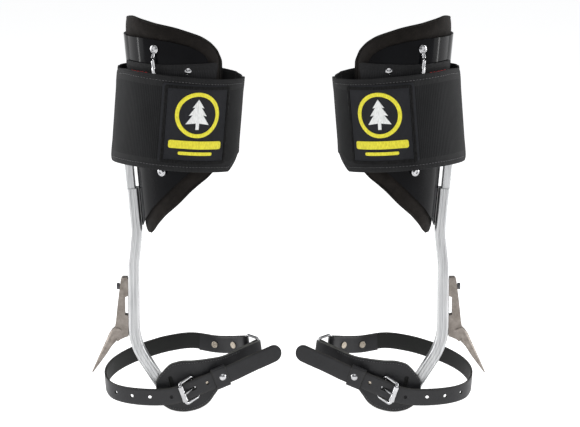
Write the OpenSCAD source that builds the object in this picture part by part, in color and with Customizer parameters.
// Pair of tree climbing spurs: bent aluminium shanks with bolted forged gaffs,
// height-adjustable calf cuffs with hook-and-loop straps, and leather foot straps
// with roller buckles. Millimetres, +Z up. The origin lies on the floor midway
// between the two spurs, which mirror each other about the plane X = 0.

/* [Pair] */
// Distance from the mid plane to the shank of each spur
half_spacing = 217; // [216:1:260]

/* [Shank] */
// Width of the shank section, seen from the front
shank_w = 16; // [15:0.5:17]
// Depth of the shank section, front to back
shank_d = 22; // [20:1:24]
// Lean of the upper shank away from the leg, in degrees
shank_lean = 5; // [4:0.5:6]
// Bend radius where the shank turns under the foot
stirrup_bend_r = 25; // [22:1:30]

/* [Gaff] */
// Thickness of the forged gaff, front to back
gaff_t = 15; // [12:1:18]
// Diameter of the gaff bolt heads
gaff_bolt_d = 9; // [8:0.5:10]

/* [Calf cuff] */
// Outer radius of the bent calf shield
shield_r = 70; // [69:0.5:70.5]
// Thickness of the shield sheet
shield_t = 2.5; // [2:0.1:2.6]
// Thickness of the calf pad
pad_t = 10; // [7:0.5:11]
// Height of the outer calf strap
calf_strap_h = 130; // [120:1:132]
// Outer radius of the calf strap loop
calf_loop_r = 81; // [80.5:0.5:82]
// Thickness of the outer calf strap
calf_strap_t = 2.5; // [2:0.1:2.6]

/* [Foot strap] */
// Width of the leather foot strap
foot_strap_w = 25; // [23:0.5:25]
// Thickness of the leather
leather_t = 3; // [2.4:0.2:3]
// Diameter of the adjusting holes
strap_hole_d = 5; // [4:0.5:6]

/* [Hidden] */
$fn = 64;

// Colours
c_alu = "#d9dadb";
c_gaff = "#9a918c";
c_steel = "#c9cacc";
c_dark = "#3c3c3f";
c_gloss = "#17171b";
c_pad = "#1d1a19";
c_web = "#151517";
c_leather = "#3a3a3c";
c_patch = "#121214";
c_red = "#a61f24";
c_brass = "#b9ab95";

// Vectors and frames
function unit(v) = v / norm(v);
function square_to(w, t) = unit(w - t * (w * t));
function lerp(a, b, f) = a + (b - a) * f;

// Places its children at o, with local X along t, local Z near w
module frame_at(o, t, w) {
    x = unit(t);
    z = square_to(w, x);
    y = cross(z, x);
    multmatrix([[x[0], y[0], z[0], o[0]],
                [x[1], y[1], z[1], o[1]],
                [x[2], y[2], z[2], o[2]],
                [0, 0, 0, 1]]) children();
}

// A point given in such a frame, in the spur's own coordinates
function at_frame(o, t, w, p) =
    let (x = unit(t), z = square_to(w, x), y = cross(z, x))
    o + x * p[0] + y * p[1] + z * p[2];

// Smooth curve through hand-set points
function curve_at(p, i, f) =
    let (n = len(p),
         a = p[max(i - 1, 0)], b = p[i], c = p[i + 1],
         d = p[min(i + 2, n - 1)])
    0.5 * ((2 * b) + (c - a) * f + (2 * a - 5 * b + 4 * c - d) * f * f
           + (3 * b - a - 3 * c + d) * f * f * f);
function curve(p, m) =
    [for (i = [0:len(p) - 2]) for (j = [0:m - 1]) curve_at(p, i, j / m),
     p[len(p) - 1]];
function along(p, m) =
    [for (i = [0:len(p) - 2]) for (j = [0:m - 1]) lerp(p[i], p[i + 1], j / m),
     p[len(p) - 1]];

// A strap swept along the points: w is the width direction at each point,
// up and dn the reach to each side, y0 and y1 the two faces
module ribbon(pts, ws, up, dn, y0, y1) {
    n = len(pts);
    tan = [for (i = [0:n - 1])
           unit(pts[min(i + 1, n - 1)] - pts[max(i - 1, 0)])];
    rings = [for (i = [0:n - 1])
             let (x = tan[i], z = square_to(ws[i], x), y = cross(z, x))
             [pts[i] + z * up[i] + y * y0, pts[i] + z * up[i] + y * y1,
              pts[i] - z * dn[i] + y * y1, pts[i] - z * dn[i] + y * y0]];
    verts = [for (r = rings) for (q = r) q];
    sides = [for (i = [0:n - 2]) for (k = [0:3])
             let (a = 4 * i + k, b = 4 * i + (k + 1) % 4, c = b + 4, d = a + 4)
             each [[a, b, c], [a, c, d]]];
    caps = [[0, 2, 1], [0, 3, 2],
            [4 * n - 4, 4 * n - 3, 4 * n - 2], [4 * n - 4, 4 * n - 2, 4 * n - 1]];
    polyhedron(points = verts, faces = concat(sides, caps));
}

// Shank centre line, in the plane of the spur: [across, up]
top_pt = [-3.4, 348.8];
lean_dir = [-sin(shank_lean), cos(shank_lean)];
knee_pt = top_pt - lean_dir * 91;
heel_pt = [-0.6, 212];
turn_pt = [-0.6, 97.4];
stir_pt = [43.3, 27];
end_pt = [103, 27];
full_top = top_pt - lean_dir * 29;
tongue_top = 84;

function dirn(a, b) = atan2(b[1] - a[1], b[0] - a[0]);
function turn_of(a, b, c) =
    let (t = dirn(b, c) - dirn(a, b)) t > 180 ? t - 360 : t < -180 ? t + 360 : t;
function setback(a, b, c, r) = r * tan(abs(turn_of(a, b, c)) / 2);

// Corner points of the section, [across, depth]: rounded corners and two shallow
// grooves on the front and back faces
sec_r = 3.6;
function corner(cx, cy, a0) = [for (k = [0:4]) [cx + sec_r * cos(a0 + k * 22.5), cy + sec_r * sin(a0 + k * 22.5)]];
function face_side(s) =
    let (d = shank_d / 2, g = [[1, 0], [0.7, 0.8], [-0.7, 0.8], [-1, 0]])
    [for (c = [2.4, -2.4]) for (q = g) [s * (c + q[0] * 1.1), s * (d - q[1])]];
section = let (w = shank_w / 2 - sec_r, d = shank_d / 2 - sec_r)
    concat(corner(w, d, 0), face_side(1), corner(-w, d, 90),
           corner(-w, -d, 180), face_side(-1), corner(w, -d, 270));

// Stations of the centre line: [across, up, direction]
function bend_stations(a, b, c, r, m) =
    let (t = turn_of(a, b, c), s = setback(a, b, c, r), p = b - unit(b - a) * s,
         d = dirn(a, b), side = t > 0 ? 1 : -1,
         cc = p + side * r * [-sin(d), cos(d)])
    [for (k = [0:m]) let (e = d + t * k / m)
     [cc[0] + side * r * sin(e), cc[1] - side * r * cos(e), e]];

// Solid swept along the stations
module sweep_section(st) {
    n = len(st);
    m = len(section);
    verts = concat(
        [for (q = st) for (c = section)
         [q[0] - sin(q[2]) * c[0], c[1], q[1] + cos(q[2]) * c[0]]],
        [[st[0][0], 0, st[0][1]], [st[n - 1][0], 0, st[n - 1][1]]]);
    sides = [for (i = [0:n - 2]) for (k = [0:m - 1])
             let (a = i * m + k, b = i * m + (k + 1) % m, c = b + m, d = a + m)
             each [[a, b, c], [a, c, d]]];
    ends = [for (k = [0:m - 1])
            let (l = (k + 1) % m, e = (n - 1) * m)
            each [[n * m, l, k], [n * m + 1, e + k, e + l]]];
    polyhedron(points = verts, faces = concat(sides, ends));
}

// Frame of the leaning upper shank: local Z runs up the shank
module lean() { translate([top_pt[0], 0, top_pt[1]]) rotate([0, -shank_lean, 0]) children(); }

// Frame of the calf strap loop, which tilts the other way
loop_tilt = 4.5;
loop_mid = [62.6, 0, 420];
module loop_frame() { translate(loop_mid) rotate([0, loop_tilt, 0]) children(); }

// Frame of the buckle: local X runs along the strap, Y away from the front
buckle_o = [87, -29, 39.5];
buckle_x = [0.919, 0.195, 0.342];
buckle_z = [-0.334, -0.071, 0.94];
module buckle_frame_at() { frame_at(buckle_o, buckle_x, buckle_z) children(); }
heel_y = 7;
roll_x = -21;
roll_y = -5.8;

// Frames of the two folds at the end ring
ring_a = [156, 48, 83];
ring_ax = [0.73, -0.66, 0.18];
ring_w = [-0.12, 0, 0.99];
ring_b = [173, 36, 80];
ring_bx = [0.78, 0.6, 0.17];
fold_r = 3.8;
module ring_a_at() { frame_at(ring_a, ring_ax, ring_w) children(); }
module ring_b_at() { frame_at(ring_b, ring_bx, ring_w) children(); }

// Pivot of the foot strap on the stirrup: [across, up]
pivot_u = 70;
pivot_z = 27;
pad_mid_y = -15;
pad_half_t = 1.75;

// ---------------------------------------------------------------- shank
module shank() color(c_alu) {
    p = [full_top, knee_pt, heel_pt, turn_pt, stir_pt, end_pt];
    line = concat([[p[0][0], p[0][1], dirn(p[0], p[1])]],
                  bend_stations(p[0], p[1], p[2], 60, 3),
                  bend_stations(p[1], p[2], p[3], 60, 2),
                  bend_stations(p[2], p[3], p[4], 90, 8),
                  bend_stations(p[3], p[4], p[5], stirrup_bend_r, 12),
                  [[p[5][0], p[5][1], dirn(p[4], p[5])]]);
    difference() {
        union() {
            sweep_section(line);
            // narrow tongue that the calf cuff slides on
            lean() translate([0, 0, -31]) linear_extrude(tongue_top + 31) tongue_section(0);
            // boss behind the foot strap pad
            translate([pivot_u, 0, pivot_z]) rotate([90, 0, 0]) cylinder(h = 12.1, r = 7);
        }
        // threaded hole for the pad screw
        translate([pivot_u, -14, pivot_z]) rotate([-90, 0, 0]) cylinder(h = 14, r = 4);
        // gaff bolt holes
        for (z = gaff_bolt_z) translate([-12, 0, z]) rotate([0, 90, 0]) cylinder(h = 12, r = 3);
        // tread grip screw holes
        for (u = tread_screw_u) translate([u, 0, 30]) cylinder(h = 8, r = 1.75);
    }
}

module tongue_section(gap) {
    w = 12.5 + 2 * gap;
    d = 18 + 2 * gap;
    translate([-1.75, 0]) union() {
        square([w - 4, d], center = true);
        square([w, d - 4], center = true);
        for (i = [-1, 1]) for (j = [-1, 1])
            translate([i * (w / 2 - 2), j * (d / 2 - 2)]) circle(2, $fn = 32);
    }
}

// ---------------------------------------------------------------- gaff
gaff_bolt_z = [125, 179];
face_u = -8.6;
module gaff() color(c_gaff) {
    difference() {
        union() {
            intersection() {
                rotate([90, 0, 0]) linear_extrude(gaff_t, center = true)
                    polygon([[face_u, 108], [face_u, 138], [-13.2, 139], [-13.2, 164.5],
                             [face_u, 166], [face_u, 190], [-9.6, 192.5], [-16.6, 192.5],
                             [-18.6, 190], [-19.6, 182], [-21.6, 168], [-23.6, 152],
                             [-26, 130], [-27.8, 120], [-30, 117], [-24, 100],
                             [-19.5, 103.6], [-12, 107]]);
                // front and back corners eased along the length
                translate([-4, 0, 100]) cylinder(h = 100, r = 25.5);
            }
            intersection() {
                rotate([90, 0, 0]) linear_extrude(30, center = true)
                    polygon([[-27.8, 120], [-32.5, 116], [-36.4, 110.5], [-41, 100],
                             [-45.1, 91], [-53, 73.5], [-61.2, 55.6], [-60.6, 54.2],
                             [-59.6, 54.4], [-54, 58], [-46, 70.5], [-38.1, 84],
                             [-33, 92.5], [-28.1, 98], [-19.5, 103.6], [-15, 106],
                             [-15, 120]]);
                translate([-61.5, 0, 52.5]) rotate([0, 30, 0])
                    cylinder(h = 78, r1 = 0.6, r2 = 9.6, $fn = 96);
            }
        }
        for (z = gaff_bolt_z) translate([-40, 0, z]) rotate([0, 90, 0]) cylinder(h = 40, r = 3.1);
        // counterbore of the lower bolt
        translate([-40, 0, gaff_bolt_z[0]]) rotate([0, 90, 0]) cylinder(h = 20.5, r = gaff_bolt_d / 2 + 0.2);
    }
}

module socket_bolt(d, head, shaft, length) {
    difference() {
        union() {
            translate([-head, 0, 0]) rotate([0, 90, 0]) cylinder(h = head, r = d / 2);
            rotate([0, 90, 0]) cylinder(h = length, r = shaft);
        }
        translate([-head - 0.1, 0, 0]) rotate([0, 90, 0]) cylinder(h = head * 0.6, r = d / 3.6, $fn = 6);
    }
}

module gaff_bolts() color(c_dark) {
    translate([-19.5, 0, gaff_bolt_z[0]]) socket_bolt(gaff_bolt_d, 5, 3, 18.5);
    translate([-20.4, 0, gaff_bolt_z[1]]) socket_bolt(gaff_bolt_d, 4.2, 3, 19.4);
}

// ---------------------------------------------------------------- tread
tread_screw_u = [63, 97];
module tread_grip() color(c_dark) {
    top = pivot_z + shank_w / 2;
    difference() {
        union() {
            translate([58, -shank_d / 2 + 0.5, top]) cube([44, shank_d + 9, 2.5]);
            for (i = [0:7]) translate([60.5 + i * 5, -shank_d / 2 + 1.5, top + 2.5]) cube([2, shank_d + 7, 1]);
        }
        for (u = tread_screw_u) translate([u, 0, top - 1]) cylinder(h = 6, r = 2);
        for (u = tread_screw_u) translate([u, 0, top + 1.6]) cylinder(h = 6, r = 4);
    }
    for (u = tread_screw_u) {
        translate([u, 0, top + 1.6]) cylinder(h = 1.6, r = 3.9);
        translate([u, 0, 30]) cylinder(h = top - 30 + 2, r = 1.7);
        translate([u, 0, top]) cylinder(h = 1.8, r = 2.1);
    }
}

// ---------------------------------------------------------------- cuff
clamp_lo = 17;
clamp_hi = 77;
clamp_in = 8.6;
clamp_bolt_z = [30, 64];
module height_clamp() color(c_alu) lean() {
    difference() {
        translate([0, 0, clamp_lo]) linear_extrude(clamp_hi - clamp_lo) difference() {
            union() {
                translate([-11.5, -9.5]) square([clamp_in + 11.5, 19]);
                translate([-7.5, -13.5]) square([clamp_in + 7.5, 27]);
                for (j = [-1, 1]) translate([-7.5, j * 9.5]) circle(4);
            }
            tongue_section(0.3);
        }
        // lock screw holes on the front
        for (z = clamp_bolt_z) translate([-1.75, -20, z]) rotate([-90, 0, 0]) cylinder(h = 12, r = 2.5);
        // shield bolt holes
        for (z = clamp_bolt_z) for (j = [-1, 1])
            translate([clamp_in - 3, j * 11, z + 4]) rotate([0, 90, 0]) cylinder(h = 6, r = 1.2);
    }
}

module clamp_screws() color(c_steel) lean()
    for (z = clamp_bolt_z) translate([-1.75, -13.5, z]) rotate([0, 0, 90]) socket_bolt(8, 3.5, 2.5, 4.1);

// Rounded oval used by shield, pad and strap: two circles a distance l apart
module oval(r, l) {
    circle(r, $fn = 128);
    translate([l, 0]) circle(r, $fn = 128);
    translate([0, -r]) square([l, 2 * r]);
}
oval_l = 10;
loop_l = 16;
shield_c = clamp_in + shield_r;

module shield_band(r1, r0, l) difference() { oval(r1, l); oval(r0, l); }

module side_cut(p) rotate([90, 0, 0]) linear_extrude(240, center = true) polygon(p);

shield_edge = [[-40, 537.5], [10, 538], [28, 537.5], [56, 534], [83, 527], [96, 520],
               [103, 514], [107, 507], [109, 498], [109, 392], [106, 381], [99, 370],
               [88, 359.5], [69, 342.5], [52, 326], [40, 313], [28, 299], [19, 283],
               [15.5, 272], [13, 268], [8, 266], [-40, 262]];
module calf_shield() color(c_gloss) difference() {
    intersection() {
        lean() translate([shield_c, 0, -110]) linear_extrude(330)
            shield_band(shield_r, shield_r - shield_t, oval_l);
        side_cut(shield_edge);
    }
    lean() for (z = clamp_bolt_z) for (j = [-1, 1])
        translate([clamp_in - 3, j * 11, z + 4]) rotate([0, 90, 0]) cylinder(h = 8, r = 1.2);
    for (s = [-1, 1]) retainer_spot(s) for (z = [-1, 1])
        translate([0, -6, z * bar_half]) rotate([-90, 0, 0]) cylinder(h = 14, r = 2.2);
}

module shield_bolts() color(c_steel) lean()
    for (z = clamp_bolt_z) for (j = [-1, 1])
        translate([clamp_in - 2.5, j * 11, z + 4]) rotate([0, 90, 0]) cylinder(h = 3.6, r = 1.2);

pad_r = shield_r - shield_t - 0.3;
pad_edge = [[-40, 620], [122.5, 620], [122.5, 390], [120, 372], [113.5, 355],
            [104, 345], [95.6, 339], [81.7, 327], [64.7, 309], [46, 291.5], [34.2, 276],
            [28, 264], [22, 258.5], [15.8, 257.5], [12, 262], [-40, 262]];
// the pad's top stands above the shield at the front and falls away towards the rear
pad_fall = 11;
pad_top = [[-60, 571], [-7, 571], [4, 570], [14, 565], [24, 561.5], [35, 557.5], [63, 551], [97, 540],
           [110, 532], [119, 522], [126, 502], [140, 460], [140, 100], [-60, 100]];
module calf_pad() color(c_pad) intersection() {
    lean() translate([shield_c, 0, -120]) linear_extrude(360)
        shield_band(pad_r, pad_r - pad_t, oval_l);
    side_cut(pad_edge);
    rotate([-pad_fall, 0, 0]) rotate([90, 0, 0]) linear_extrude(500, center = true)
        polygon([for (p = pad_top) [p[0], (p[1] - 62 * tan(pad_fall)) * cos(pad_fall)]]);
}

// Retainer bars on the shield, front and back
bar_half = 85;
bar_turn = 26;
module retainer_spot(s)
    mirror([0, s > 0 ? 1 : 0, 0])
        translate([39, -65.4, 439]) rotate([0, -3, 0]) rotate([0, 0, -bar_turn]) children();

module retainer_bars() color(c_steel) for (s = [-1, 1]) retainer_spot(s) {
    for (z = [-1, 1]) {
        difference() {
            translate([0, 0, z * bar_half]) rotate([90, 0, 0]) cylinder(h = 2.6, r = 6);
            translate([0, 1, z * bar_half]) rotate([90, 0, 0]) cylinder(h = 6, r = 2.3);
        }
        // stub from the eye out to the rod
        translate([0, -6.6, z * 72]) rotate([z > 0 ? -29 : 209, 0, 0]) cylinder(h = 9.5, r = 2.4);
        translate([0, -6.6, z * 72]) sphere(2.5, $fn = 32);
    }
    translate([0, -6.6, -72]) cylinder(h = 144, r = 2.5);
}

module retainer_screws() color(c_steel) for (s = [-1, 1]) retainer_spot(s)
    for (z = [-1, 1]) difference() {
        translate([0, 1.6, z * bar_half]) rotate([90, 0, 0]) union() {
            cylinder(h = 5, r = 2.2);
            translate([0, 0, 4.2]) cylinder(h = 1.6, r = 4.4);
            translate([0, 0, 5.8]) cylinder(h = 1, r1 = 4.4, r2 = 3.2);
        }
        translate([0, -3.8, z * bar_half]) rotate([90, 0, 0]) cylinder(h = 2, r = 1.9, $fn = 6);
    }

inner_edge = [[-60, 503.5], [60, 504], [118, 504.5], [121.5, 500], [101, 376], [97, 372], [-60, 372]];
module inner_calf_strap() color(c_web) difference() {
    intersection() {
        lean() translate([shield_c, 0, -60]) linear_extrude(300)
            shield_band(shield_r + 2.1, shield_r + 0.1, oval_l);
        side_cut(inner_edge);
        union() for (s = [-1, 1]) translate([-20, s > 0 ? 24 : -124, 300]) cube([200, 100, 260]);
    }
    for (r = anchor_at) for (s = [-1, 1])
        translate([r[0], s * 70, r[1]]) rotate([90, 0, 0]) cylinder(h = 20, r = 2, center = true);
}

anchor_at = [[80, 494], [80, 384]];
module strap_anchor_rivets() color(c_steel)
    for (r = anchor_at) for (s = [-1, 1])
        translate([r[0], 0, r[1]]) mirror([0, s > 0 ? 1 : 0, 0])
            translate([0, -(shield_r + 2), 0]) rotate([90, 0, 0]) {
                translate([0, 0, -2]) cylinder(h = 2.5, r = 2);
                intersection() {
                    translate([0, 0, -4.4]) sphere(6.2, $fn = 48);
                    translate([0, 0, -0.1]) cylinder(h = 4, r = 5);
                }
            }

// Outer calf strap: a loop round cuff and shank; the front half is the flap
flap_y = -16;
hinge_x = -(loop_l / 2) - sqrt(pow(calf_loop_r - calf_strap_t / 2, 2) - flap_y * flap_y);
module strap_band(r1, r0) translate([-loop_l / 2, 0]) difference() { oval(r1, loop_l); oval(r0, loop_l); }

module outer_calf_strap() color(c_web) loop_frame()
    difference() {
        union() {
            // back half and the part round the shank
            translate([0, 0, -calf_strap_h / 2]) linear_extrude(calf_strap_h) difference() {
                strap_band(calf_loop_r, calf_loop_r - calf_strap_t);
                translate([hinge_x - 20, -120]) square([300, 120 + flap_y]);
                translate([loop_l / 2 + 70, -20]) square([40, 58]);
            }
            // tail that lies inside the flap at the right
            translate([0, 0, -calf_strap_h / 2]) linear_extrude(calf_strap_h) intersection() {
                strap_band(calf_loop_r - calf_strap_t - 0.6, calf_loop_r - 2 * calf_strap_t - 0.6);
                translate([loop_l / 2 + 40, -12]) square([60, 50.5]);
            }
            translate([0, 0, -calf_strap_h / 2]) linear_extrude(calf_strap_h) intersection() {
                strap_band(calf_loop_r, calf_loop_r - 2 * calf_strap_t - 0.6);
                translate([loop_l / 2 + 40, 38]) square([60, 6]);
            }
        }
        translate([hinge_x, flap_y, -100]) cylinder(h = 200, r = calf_strap_t / 2 + 0.5);
    }

module calf_strap_flap() color(c_web) loop_frame() {
    translate([0, 0, -calf_strap_h / 2]) linear_extrude(calf_strap_h) difference() {
        strap_band(calf_loop_r, calf_loop_r - calf_strap_t);
        translate([-150, flap_y]) square([150, 250]);
        translate([-150, 6]) square([300, 250]);
    }
    translate([hinge_x, flap_y, -calf_strap_h / 2]) cylinder(h = calf_strap_h, r = calf_strap_t / 2);
}

module flap_patch() color(c_patch) loop_frame()
    translate([0, 0, -54 + 3]) linear_extrude(108) intersection() {
        strap_band(calf_loop_r + 1.4, calf_loop_r);
        translate([-18, -120]) square([86, 100]);
    }

module pull_tab() color(c_red) loop_frame()
    translate([0, 0, calf_strap_h / 2 - 30]) linear_extrude(34) intersection() {
        strap_band(calf_loop_r - calf_strap_t, calf_loop_r - calf_strap_t - 1);
        translate([-67, -120]) square([24, 100]);
    }

// ---------------------------------------------------------------- foot strap
fs_y = [for (k = [0:2]) at_frame(ring_a, ring_ax, ring_w, [-15 * k, fold_r, 0])];
fs_b = [for (s = [-22, 0, 20, 40, 58]) at_frame(buckle_o, buckle_x, buckle_z, [s, 0, 0])];
foot_pts = concat(fs_y,
    [[113, 88, 74.5], [78, 99, 77], [45, 98, 73], [17, 90, 67], [-9, 77, 60],
     [-30, 58, 52], [-41, 37, 44], [-42, 14, 37], [-34, -7, 31], [-18, -21, 28],
     [4, -29, 26.5], [28, -32, 26], [49, -33.5, 27.5]],
    fs_b, [[164, -9, 69], [187, 1, 77], [206, 10, 84]]);
foot_w = concat([ring_w, ring_w, ring_w],
    [[-0.08, 0, 0.99], [-0.05, -0.15, 0.98], [-0.05, -0.15, 0.98], [-0.05, -0.15, 0.98],
     [-0.05, -0.15, 0.98], [-0.05, -0.15, 0.98], [-0.05, -0.1, 0.99], [-0.05, -0.1, 0.99],
     [-0.05, -0.1, 0.99], [-0.08, -0.1, 0.99], [-0.1, -0.08, 0.98], [-0.16, -0.08, 0.98],
     [-0.25, -0.08, 0.96]],
    [for (i = [0:4]) buckle_z], [[-0.3, -0.06, 0.95], [-0.28, -0.06, 0.95], [-0.26, -0.06, 0.95]]);
sub = 3;
foot_main = curve(foot_pts, sub);
foot_mw = along(foot_w, sub);
// the strap's end runs inside the loop, round the ring bar, then becomes the strap
function y_of(p, w, i) =
    let (x = unit(p[min(i + 1, len(p) - 1)] - p[max(i - 1, 0)])) cross(square_to(w[i], x), x);
fold_gap = 0.8;
foot_line = concat(
    [for (i = [11:-1:4]) foot_main[i] + y_of(foot_main, foot_mw, i) * (leather_t + fold_gap)],
    [for (q = [[-12, -0.7], [-6, -2.7]]) at_frame(ring_a, ring_ax, ring_w, [q[0], q[1], 0])],
    [for (a = [-90:22.5:67.5]) at_frame(ring_a, ring_ax, ring_w, [fold_r * cos(a), fold_r * sin(a), 0])],
    foot_main);
foot_wline = concat([for (i = [11:-1:4]) foot_mw[i]], [for (i = [0:9]) ring_w], foot_mw);
foot_n = len(foot_line);
// half width, drawn in to a rounded tip at the free end
function foot_half(i) =
    i == foot_n - 1 ? foot_strap_w * 0.22 : i == foot_n - 2 ? foot_strap_w * 0.43 : foot_strap_w / 2;
hole_spots = [[22, -31, 26.2, 4], [-3, -26.8, 27, -20], [-25, -15.5, 29.5, -46]];

module foot_strap() color(c_leather) difference() {
    ribbon(foot_line, foot_wline, [for (i = [0:foot_n - 1]) foot_half(i)],
           [for (i = [0:foot_n - 1]) foot_half(i)], -leather_t / 2, leather_t / 2);
    // slot for the prong and the next adjusting hole
    buckle_frame_at() {
        translate([-11, -4, -2.5]) cube([11.5, 8, 5]);
        for (s = [17, -37]) translate([s, 4, 0]) rotate([90, 0, 0]) cylinder(h = 12, r = strap_hole_d / 2, $fn = 32);
    }
    for (h = hole_spots) translate([h[0], h[1], h[2]]) rotate([90, 0, h[3]])
        cylinder(h = 12, r = strap_hole_d / 2, center = true, $fn = 32);
    for (p = ring_rivet_at) place_ring_rivet(p) rotate([90, 0, 0]) cylinder(h = 18, r = 1.7, center = true, $fn = 32);
}

// Ring rivets: [station along the strap]
ring_rivet_at = [5, 9];
module place_ring_rivet(i)
    frame_at(foot_main[i], foot_main[i + 1] - foot_main[i - 1], foot_mw[i]) children();

pad_line_p = [[30, -15, 40], [32, -15, 40], [36.5, -15, 40], [44, -15, 40], [54, -15, 40.5],
              [70, -15, 42], [86, -15, 45.5], [100, -14.5, 51], [114, -10.5, 57.5],
              [128, -2, 64], [144, 10.5, 71]];
pad_end = at_frame(ring_b, ring_bx, ring_w, [0, -fold_r, 0]);
pad_near = at_frame(ring_b, ring_bx, ring_w, [-9, -fold_r, 0]);
pad_pts = concat(pad_line_p, [pad_near, pad_end]);
pad_w = [[0, 0, 1], [0, 0, 1], [0, 0, 1], [0, 0, 1], [0, 0, 1], [-0.03, 0, 1], [-0.1, 0, 1],
         [-0.17, 0, 0.98], [-0.2, 0, 0.98], [-0.18, 0, 0.98], [-0.14, 0, 0.99], ring_w, ring_w];
pad_up = [4, 9, 16, 24, 30.5, 33, 31, 27.5, 22, 16, 13, 12.5, 12.5];
pad_dn = [5, 14, 25, 33.5, 39, 41.5, 39, 30, 21, 15, 13, 12.5, 12.5];
pad_m = 3;
pad_main = curve(pad_pts, pad_m);
pad_mw = along(pad_w, pad_m);
pad_last = len(pad_main) - 1;
pad_turn = concat(
    [for (a = [-67.5:22.5:90]) at_frame(ring_b, ring_bx, ring_w, [fold_r * cos(a), fold_r * sin(a), 0])],
    [for (q = [[-4, 3.1], [-8, 1.3]]) at_frame(ring_b, ring_bx, ring_w, [q[0], q[1], 0])],
    [for (i = [pad_last - 4:-1:pad_last - 7])
     pad_main[i] + y_of(pad_main, pad_mw, i) * (2 * pad_half_t + fold_gap)]);
pad_line = concat(pad_main, pad_turn);
pad_wline = concat(pad_mw, [for (i = [0:9]) ring_w],
                   [for (i = [pad_last - 4:-1:pad_last - 7]) pad_mw[i]]);
pad_upl = concat(curve(pad_up, pad_m), [for (q = pad_turn) 12.5]);
pad_dnl = concat(curve(pad_dn, pad_m), [for (q = pad_turn) 12.5]);

module buckle_pad() color(c_leather) difference() {
    ribbon(pad_line, pad_wline, pad_upl, pad_dnl, -pad_half_t, pad_half_t);
    translate([pivot_u, -30, pivot_z]) rotate([-90, 0, 0]) cylinder(h = 30, r = 6.5);
    // long slot beside the buckle
    translate([54, -30, 33]) rotate([0, -12, 0]) {
        translate([-3, 0, -17]) cube([6, 30, 34]);
        for (s = [-17, 17]) translate([0, 0, s]) rotate([-90, 0, 0]) cylinder(h = 30, r = 3);
    }
    buckle_frame_at() for (s = chape_rivet_x) translate([s, -2, 0]) rotate([-90, 0, 0])
        cylinder(h = 40, r = 1.7, $fn = 32);
}

module pad_grommet() color(c_brass) translate([pivot_u, 0, pivot_z]) rotate([90, 0, 0]) difference() {
    union() {
        translate([0, 0, -pad_mid_y - pad_half_t]) cylinder(h = 2 * pad_half_t, r = 6.5);
        translate([0, 0, -pad_mid_y - pad_half_t - 0.7]) cylinder(h = 0.7, r = 9);
        translate([0, 0, -pad_mid_y + pad_half_t]) cylinder(h = 0.7, r = 9);
    }
    translate([0, 0, 5]) cylinder(h = 20, r = 5.05);
}

module pad_screw() color(c_steel) translate([pivot_u, 0, pivot_z]) rotate([90, 0, 0]) difference() {
    union() {
        translate([0, 0, 2]) cylinder(h = 12, r = 4);
        translate([0, 0, 13]) cylinder(h = -pad_mid_y + pad_half_t + 0.8 - 13, r = 5);
        translate([0, 0, -pad_mid_y + pad_half_t + 0.8]) cylinder(h = 2.6, r = 8.5);
    }
    translate([0, 0, 18.4]) cylinder(h = 5, r = 2.5, $fn = 6);
}

chape_rivet_x = [15];
chape_in = 2.55;
chape_t = 2.4;
module buckle_chape() color(c_leather) buckle_frame_at() difference() {
    union() {
        translate([0, heel_y, -10]) linear_extrude(20) difference() {
            circle(chape_in + chape_t);
            circle(chape_in);
            translate([0, -chape_in]) square([10, 2 * chape_in]);
        }
        translate([0, heel_y + chape_in, -10]) cube([20.5, chape_t, 20]);
        // the front layer steps back to lie on the rear one
        translate([0, heel_y - chape_in - chape_t, -10]) cube([5, chape_t, 20]);
        translate([4, heel_y - chape_in - chape_t, -10]) cube([16.5, 2 * (chape_in + chape_t) - 0.5, 20]);
    }
    // notch for the prong
    translate([-8, -4, -2.6]) cube([12.5, 20, 5.2]);
    for (s = chape_rivet_x) translate([s, -2, 0]) rotate([-90, 0, 0]) cylinder(h = 30, r = 1.7, $fn = 32);
}

module strap_rivet(len_y) {
    // shank along local Y from 0 to len_y with a flat head at each end
    rotate([-90, 0, 0]) {
        cylinder(h = len_y, r = 1.7, $fn = 32);
        translate([0, 0, -1]) cylinder(h = 1, r = 4.8);
        translate([0, 0, len_y]) cylinder(h = 1, r = 4.8);
    }
}

module strap_rivets() color(c_brass) {
    for (i = ring_rivet_at) place_ring_rivet(i) translate([0, -leather_t / 2, 0]) strap_rivet(2 * leather_t + fold_gap);
    buckle_frame_at() for (s = chape_rivet_x)
        translate([s, heel_y - chape_in - chape_t, 0]) rotate([-90, 0, 0]) {
            cylinder(h = 14, r = 1.7, $fn = 32);
            translate([0, 0, -0.3]) cylinder(h = 0.3, r = 4);
        }
}

// ---------------------------------------------------------------- buckle
bar_r = 2.25;
side_z = 15.6;
// Closed wire loop in the local XZ plane: lx by lz between centre lines,
// corner radius rc, wire radius r, one end bar on the Z axis, the other at -lx
module wire_loop(lx, lz, rc, r) {
    for (s = [0, 1]) translate([-s * lx, 0, -lz / 2 + rc]) cylinder(h = lz - 2 * rc, r = r);
    for (s = [-1, 1]) translate([-rc, 0, s * lz / 2]) rotate([0, -90, 0]) cylinder(h = lx - 2 * rc, r = r);
    for (i = [0, 1]) for (s = [-1, 1])
        translate([i == 0 ? -rc : -lx + rc, 0, s * (lz / 2 - rc)])
            rotate([90, 0, 0]) rotate([0, 0, i == 0 ? (s > 0 ? 0 : -90) : (s > 0 ? 90 : 180)])
                rotate_extrude(angle = 90) translate([rc, 0]) circle(r, $fn = 48);
}
frame_l = norm([roll_x, roll_y - heel_y]);
frame_a = atan2(heel_y - roll_y, -roll_x);
module buckle_frame() color(c_steel) buckle_frame_at()
    translate([0, heel_y, 0]) rotate([0, 0, frame_a]) wire_loop(frame_l, 2 * side_z, 4, bar_r);

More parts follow.
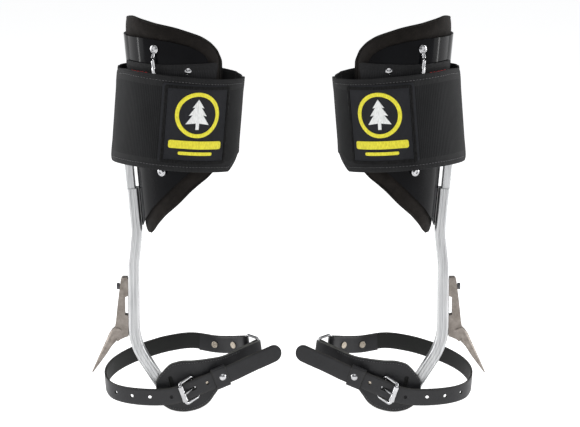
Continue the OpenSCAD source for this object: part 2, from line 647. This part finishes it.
prong_a = atan2(heel_y - roll_y, -roll_x) + asin(5.8 / norm([roll_x, heel_y - roll_y]));
module buckle_prong() color(c_steel) buckle_frame_at() translate([0, heel_y, 0]) {
    difference() {
        union() {
            translate([0, 0, -2]) cylinder(h = 4, r = 4.1);
            rotate([0, 0, prong_a]) translate([0, 0, 0]) rotate([0, -90, 0]) cylinder(h = 22, r = 1.5, $fn = 32);
            rotate([0, 0, prong_a]) translate([-22, 0, 0]) rotate([0, -90, 0]) cylinder(h = 3, r1 = 1.5, r2 = 0.6, $fn = 32);
        }
        translate([0, 0, -5]) cylinder(h = 10, r = bar_r + 0.08);
    }
}

module buckle_roller() color(c_steel) buckle_frame_at() translate([roll_x, roll_y, -11.3]) difference() {
    cylinder(h = 22.6, r = 4);
    translate([0, 0, -1]) cylinder(h = 30, r = bar_r + 0.08);
}

keep_x = 27;
keep_l = 21;
module keeper_loop() color(c_leather) buckle_frame_at() difference() {
    translate([keep_x, -2.1 - 2.2, -15.4]) cube([keep_l, 8.6, 30.8]);
    translate([keep_x - 1, -2.1, -13.2]) cube([keep_l + 2, 4.2, 26.4]);
    translate([keep_x + keep_l * 0.62, -6, 0]) rotate([-90, 0, 0]) cylinder(h = 5, r = 1.7, $fn = 32);
}

module keeper_rivet() color(c_steel) buckle_frame_at()
    translate([keep_x + keep_l * 0.62, -4.3, 0]) rotate([90, 0, 0]) {
        translate([0, 0, -2]) cylinder(h = 2.2, r = 1.7, $fn = 32);
        intersection() {
            translate([0, 0, -5.2]) sphere(7, $fn = 48);
            cylinder(h = 3, r = 4.7);
        }
    }

// ---------------------------------------------------------------- ring
ring_r = 2;
// Rounded loop of round wire: stations [across, up, direction] and a round section
function loop_stations(lx, lz, rc) =
    [for (q = [[0, 1, 0], [-1, 1, 90], [-1, -1, 180], [0, -1, 270]])
     for (k = [0:5]) let (a = q[2] + k * 18, cx = q[0] == 0 ? -rc : -lx + rc, cz = q[1] * (lz / 2 - rc))
     [cx + rc * cos(a), cz + rc * sin(a), a]];
module round_loop(st, r, m) {
    n = len(st);
    verts = [for (q = st) for (k = [0:m - 1]) let (a = 360 * k / m)
             [q[0] + cos(q[2]) * r * cos(a), r * sin(a), q[1] + sin(q[2]) * r * cos(a)]];
    faces = [for (i = [0:n - 1]) for (k = [0:m - 1])
             let (a = i * m + k, b = i * m + (k + 1) % m,
                  c = ((i + 1) % n) * m + (k + 1) % m, d = ((i + 1) % n) * m + k)
             each [[a, c, b], [a, d, c]]];
    polyhedron(points = verts, faces = faces);
}
// the two bars of the ring hold the two folds
module end_ring() color(c_steel)
    frame_at(ring_a, ring_a - ring_b, ring_w)
        round_loop(loop_stations(norm(ring_a - ring_b), 30.4, 4), ring_r, 14);

// ---------------------------------------------------------------- placing
// the pair is centred front to back on its own box
mid_y = 10.4;
module left() translate([-half_spacing, -mid_y, 0]) children();
module right() mirror([1, 0, 0]) translate([-half_spacing, -mid_y, 0]) children();

left() shank();  // left_shank
left() gaff();  // left_gaff
left() gaff_bolts();  // left_gaff_bolts
left() tread_grip();  // left_tread_grip
left() height_clamp();  // left_height_clamp
left() clamp_screws();  // left_clamp_screws
left() calf_shield();  // left_calf_shield
left() shield_bolts();  // left_shield_bolts
left() calf_pad();  // left_calf_pad
left() retainer_bars();  // left_retainer_bars
left() retainer_screws();  // left_retainer_screws
left() inner_calf_strap();  // left_inner_calf_strap
left() strap_anchor_rivets();  // left_strap_anchor_rivets
left() outer_calf_strap();  // left_outer_calf_strap
left() calf_strap_flap();  // left_calf_strap_flap
left() flap_patch();  // left_flap_patch
left() pull_tab();  // left_pull_tab
left() foot_strap();  // left_foot_strap
left() buckle_pad();  // left_buckle_pad
left() pad_grommet();  // left_pad_grommet
left() pad_screw();  // left_pad_screw
left() buckle_chape();  // left_buckle_chape
left() strap_rivets();  // left_strap_rivets
left() buckle_frame();  // left_buckle_frame
left() buckle_prong();  // left_buckle_prong
left() buckle_roller();  // left_buckle_roller
left() keeper_loop();  // left_keeper_loop
left() keeper_rivet();  // left_keeper_rivet
left() end_ring();  // left_end_ring
right() shank();  // right_shank
right() gaff();  // right_gaff
right() gaff_bolts();  // right_gaff_bolts
right() tread_grip();  // right_tread_grip
right() height_clamp();  // right_height_clamp
right() clamp_screws();  // right_clamp_screws
right() calf_shield();  // right_calf_shield
right() shield_bolts();  // right_shield_bolts
right() calf_pad();  // right_calf_pad
right() retainer_bars();  // right_retainer_bars
right() retainer_screws();  // right_retainer_screws
right() inner_calf_strap();  // right_inner_calf_strap
right() strap_anchor_rivets();  // right_strap_anchor_rivets
right() outer_calf_strap();  // right_outer_calf_strap
right() calf_strap_flap();  // right_calf_strap_flap
right() flap_patch();  // right_flap_patch
right() pull_tab();  // right_pull_tab
right() foot_strap();  // right_foot_strap
right() buckle_pad();  // right_buckle_pad
right() pad_grommet();  // right_pad_grommet
right() pad_screw();  // right_pad_screw
right() buckle_chape();  // right_buckle_chape
right() strap_rivets();  // right_strap_rivets
right() buckle_frame();  // right_buckle_frame
right() buckle_prong();  // right_buckle_prong
right() buckle_roller();  // right_buckle_roller
right() keeper_loop();  // right_keeper_loop
right() keeper_rivet();  // right_keeper_rivet
right() end_ring();  // right_end_ring
